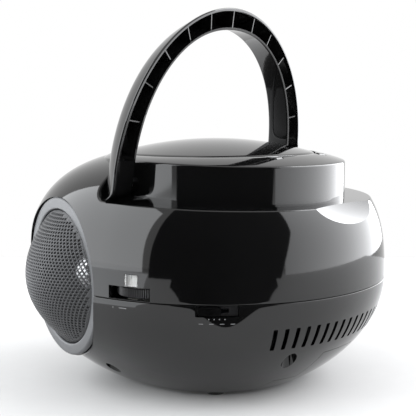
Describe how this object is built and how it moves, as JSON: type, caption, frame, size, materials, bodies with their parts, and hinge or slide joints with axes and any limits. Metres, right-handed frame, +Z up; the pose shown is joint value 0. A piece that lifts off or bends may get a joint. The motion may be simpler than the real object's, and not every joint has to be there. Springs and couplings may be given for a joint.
{
  "type": "cd radio player",
  "caption": "Round portable CD and radio player with side speakers, thumbwheels, a function slider, hinged disc lid, battery door and a fold-back carrying handle.",
  "frame": {"origin": "on the floor at the centre of the player's footprint", "axes": "+Z up, front towards -Y, +X to the right of a listener who faces the front"},
  "size_m": [0.2252, 0.2254, 0.2378],
  "materials": {
    "gloss_black": "mirror gloss moulded black",
    "satin_black": "satin moulded black",
    "dark_plastic": "satin dark grey",
    "white_plastic": "satin white",
    "silver_plastic": "satin silver-grey paint",
    "grille_metal": "dark painted perforated sheet",
    "plated_steel": "zinc plated",
    "dark_steel": "blackened",
    "black_cone": "pressed paper",
    "cap_aluminium": "bright satin",
    "clear_window": "clear polished",
    "lens_glass": "coated lens",
    "display_glass": "grey-green display",
    "circuit_board": "green solder mask",
    "resin_board": "brown resin board",
    "ferrite": "sintered",
    "copper_wire": "enamelled winding",
    "foot_rubber": "matte"
  },
  "bodies": {
    "root": {"antenna_coil": "copper_wire", "audio_jack": "dark_plastic", "battery_box": "dark_plastic", "case_screw_front_left": "dark_steel", "case_screw_front_right": "dark_steel", "case_screw_rear_left": "dark_steel", "case_screw_rear_right": "dark_steel", "cd_well": "satin_black", "display_module": "display_glass", "display_window": "clear_window", "ferrite_rod": "ferrite", "foot_front_left": "foot_rubber", "foot_front_right": "foot_rubber", "foot_rear_left": "foot_rubber", "foot_rear_right": "foot_rubber", "front_panel": "gloss_black", "function_switch": "plated_steel", "handle_pin_left": "plated_steel", "handle_pin_right": "plated_steel", "key_board": "circuit_board", "lower_housing": "gloss_black", "main_board": "circuit_board", "mechanism_plate": "plated_steel", "power_inlet": "dark_plastic", "power_transformer": "dark_steel", "slider_plate": "satin_black", "speaker_basket_left": "dark_steel", "speaker_basket_right": "dark_steel", "speaker_cap_left": "cap_aluminium", "speaker_cap_right": "cap_aluminium", "speaker_cone_left": "black_cone", "speaker_cone_right": "black_cone", "speaker_grille_left": "grille_metal", "speaker_grille_right": "grille_metal", "speaker_ring_left": "silver_plastic", "speaker_ring_right": "silver_plastic", "spindle_motor": "plated_steel", "tuning_capacitor": "white_plastic", "tuning_window": "clear_window", "upper_housing": "gloss_black", "volume_control": "resin_board"},
    "handle": {"handle": "gloss_black"},
    "lid": {"cd_lid": "gloss_black", "clamp_holder": "dark_plastic"},
    "disc_clamp": {"cd_clamp": "white_plastic"},
    "spindle": {"spindle_hub": "dark_plastic"},
    "laser": {"laser_sled": "dark_plastic", "laser_lens": "lens_glass"},
    "tuning": {"tuning_wheel": "satin_black", "tuning_scale": "white_plastic"},
    "volume": {"volume_wheel": "satin_black"},
    "function": {"function_slider": "gloss_black"},
    "lid_key": {"lid_key": "gloss_black"},
    "battery_door": {"battery_door": "gloss_black"},
    "key_program": {"key_program": "silver_plastic"},
    "key_skip_back": {"key_skip_back": "silver_plastic"},
    "key_play_pause": {"key_play_pause": "silver_plastic"},
    "key_skip_forward": {"key_skip_forward": "silver_plastic"},
    "key_stop": {"key_stop": "silver_plastic"}
  },
  "joints": [
    {"name": "handle_fold", "type": "hinge", "parent": "root", "child": "handle", "pos_m": [0, -0.0046, 0.13], "axis": [-1, 0, 0], "range_deg": [0, 80]},
    {"name": "lid_hinge", "type": "hinge", "parent": "root", "child": "lid", "pos_m": [0, 0.0681, 0.1443], "axis": [-1, 0, 0], "range_deg": [0, 34]},
    {"name": "clamp_spin", "type": "hinge", "parent": "lid", "child": "disc_clamp", "pos_m": [0, 0.004, 0.138], "axis": [0, 0, 1], "continuous": true},
    {"name": "spindle_spin", "type": "hinge", "parent": "root", "child": "spindle", "pos_m": [0, 0.004, 0.13], "axis": [0, 0, 1], "continuous": true},
    {"name": "laser_slide", "type": "slide", "parent": "root", "child": "laser", "axis": [1, 0, 0], "range_m": [0, 0.034]},
    {"name": "tuning_turn", "type": "hinge", "parent": "root", "child": "tuning", "pos_m": [0.0874, 0.0225, 0.072], "axis": [0, 0, 1], "range_deg": [-90, 90]},
    {"name": "volume_turn", "type": "hinge", "parent": "root", "child": "volume", "pos_m": [-0.0874, 0.0225, 0.072], "axis": [0, 0, 1], "range_deg": [-135, 135]},
    {"name": "function_slide", "type": "slide", "parent": "root", "child": "function", "axis": [-0.6018, 0.7986, 0], "range_m": [0, 0.0081]},
    {"name": "lid_key_press", "type": "slide", "parent": "root", "child": "lid_key", "axis": [0, 0, -1], "range_m": [0, 0.0015], "stiffness_N_per_m": 600},
    {"name": "battery_door_hinge", "type": "hinge", "parent": "root", "child": "battery_door", "pos_m": [0, -0.0282, 0.0015], "axis": [-1, 0, 0], "range_deg": [0, 70]},
    {"name": "key_program_press", "type": "slide", "parent": "root", "child": "key_program", "axis": [0, 1, 0], "range_m": [0, 0.0009], "stiffness_N_per_m": 800},
    {"name": "key_skip_back_press", "type": "slide", "parent": "root", "child": "key_skip_back", "axis": [0, 1, 0], "range_m": [0, 0.0009], "stiffness_N_per_m": 800},
    {"name": "key_play_pause_press", "type": "slide", "parent": "root", "child": "key_play_pause", "axis": [0, 1, 0], "range_m": [0, 0.0009], "stiffness_N_per_m": 800},
    {"name": "key_skip_forward_press", "type": "slide", "parent": "root", "child": "key_skip_forward", "axis": [0, 1, 0], "range_m": [0, 0.0009], "stiffness_N_per_m": 800},
    {"name": "key_stop_press", "type": "slide", "parent": "root", "child": "key_stop", "axis": [0, 1, 0], "range_m": [0, 0.0009], "stiffness_N_per_m": 800}
  ]
}
